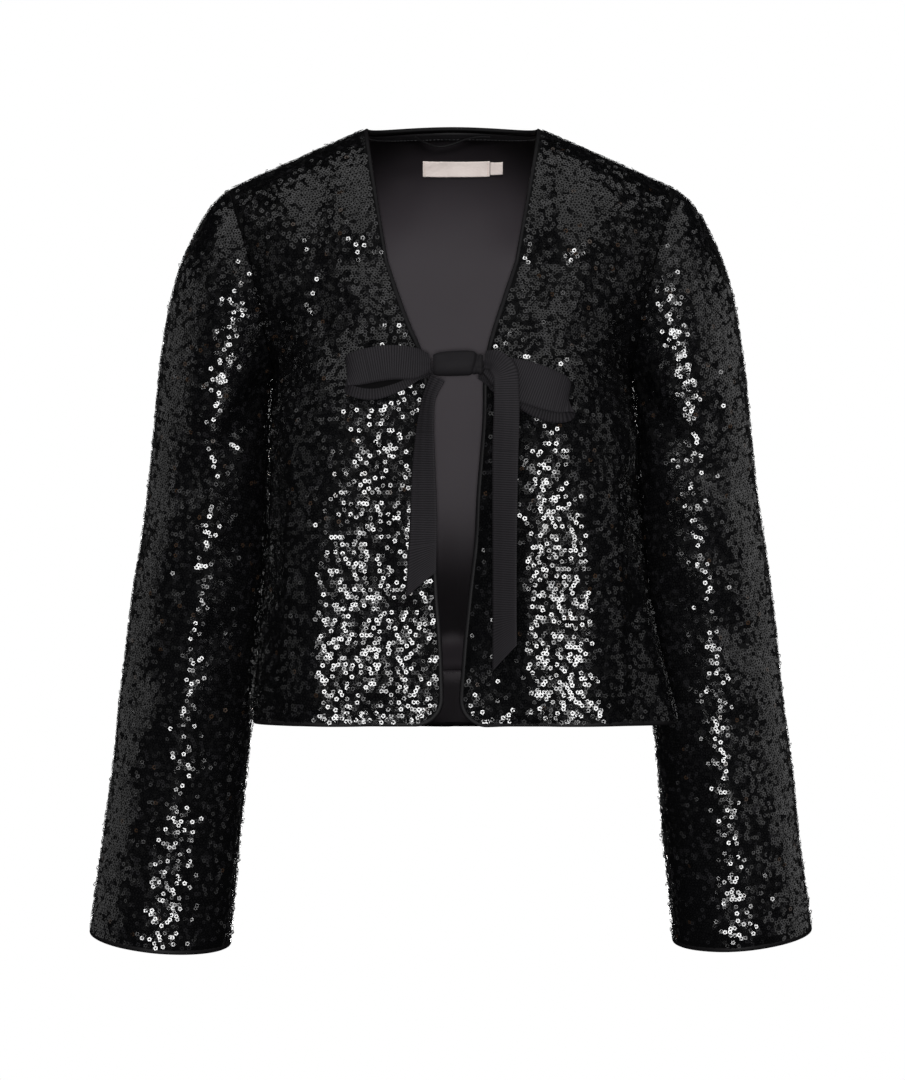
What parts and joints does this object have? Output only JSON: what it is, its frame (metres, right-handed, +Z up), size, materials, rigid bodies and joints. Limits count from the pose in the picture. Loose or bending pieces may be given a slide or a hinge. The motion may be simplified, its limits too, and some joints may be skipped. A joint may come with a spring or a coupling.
{
  "type": "cardigan",
  "caption": "Cropped, lined open-front cardigan of sequinned cloth, tied with a ribbon bow, in the hollow form it has when worn.",
  "frame": {"origin": "midway between the two high points of the shoulders, in the opening of the neck, where the wearer's neck carries the garment", "axes": "+Z up towards the wearer's head, -Y the front of the garment, +X the wearer's left"},
  "size_m": [0.622, 0.2723, 0.7092],
  "materials": {
    "sequinned_cloth": "black ring sequins sewn in rows on woven cloth, glossy",
    "satin": "black satin, soft sheen",
    "ribbon": "black grosgrain ribbon, dull, with fine cross ribs",
    "label_satin": "pale woven label satin, left bare"
  },
  "bodies": {
    "root": {"back": "sequinned_cloth", "front_left": "sequinned_cloth", "front_right": "sequinned_cloth", "sleeve_left": "sequinned_cloth", "sleeve_right": "sequinned_cloth", "lining_back": "satin", "lining_front_left": "satin", "lining_front_right": "satin", "facing_hem_back": "satin", "neck_binding_back": "satin", "edge_binding_left": "satin", "edge_binding_right": "satin", "hem_binding_back": "satin", "cuff_binding_left": "satin", "cuff_binding_right": "satin", "tie_knot": "ribbon", "tie_loop_left": "ribbon", "tie_loop_right": "ribbon", "tie_tail_left": "ribbon", "tie_tail_right": "ribbon", "tie_stub_left": "ribbon", "tie_stub_right": "ribbon", "hanger_loop": "satin", "label": "label_satin", "size_tab": "label_satin"}
  },
  "joints": []
}
